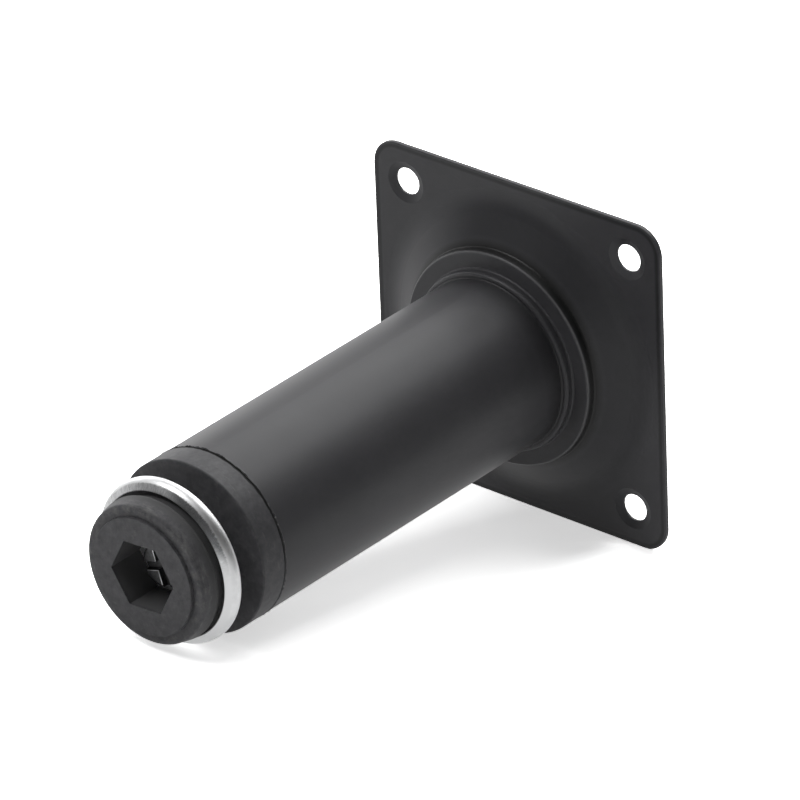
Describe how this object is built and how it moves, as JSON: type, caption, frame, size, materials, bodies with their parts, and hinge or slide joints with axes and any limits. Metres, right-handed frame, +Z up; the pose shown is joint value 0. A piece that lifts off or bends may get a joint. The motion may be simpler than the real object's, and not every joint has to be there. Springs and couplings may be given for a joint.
{
  "type": "adjustable table leg",
  "caption": "Round black steel furniture leg on a square pressed mounting plate with corner screw holes, with a plastic plug and a screw-in levelling glide.",
  "frame": {"origin": "centre of the glide pad's face on the floor, on the leg's axis", "axes": "+Z up the leg's axis to the mounting plate's back, X and Y square to the plate's edges"},
  "size_m": [0.1, 0.1, 0.1595],
  "materials": {
    "black_powder_coat": "satin",
    "plug_plastic": "satin",
    "pad_plastic": "matt",
    "zinc_plate": "satin"
  },
  "bodies": {
    "leg": {"mounting_plate": "black_powder_coat", "leg_tube": "black_powder_coat", "weld_bead": "black_powder_coat", "end_plug": "plug_plastic", "insert_nut": "zinc_plate"},
    "cup": {"glide_cup": "zinc_plate"},
    "glide": {"glide_pad": "pad_plastic", "glide_stud": "zinc_plate"}
  },
  "joints": [
    {"name": "glide_travel", "type": "slide", "parent": "leg", "child": "cup", "axis": [0, 0, -1], "range_m": [-0.007, 0.01]},
    {"name": "glide_spin", "type": "hinge", "parent": "cup", "child": "glide", "pos_m": [0, 0, 0.0115], "axis": [0, 0, -1], "range_deg": [-1440, 2057]}
  ],
  "couplings": [
    {"joint": "glide_travel", "follows": "glide_spin", "m_per_rad": 0.00027852}
  ]
}
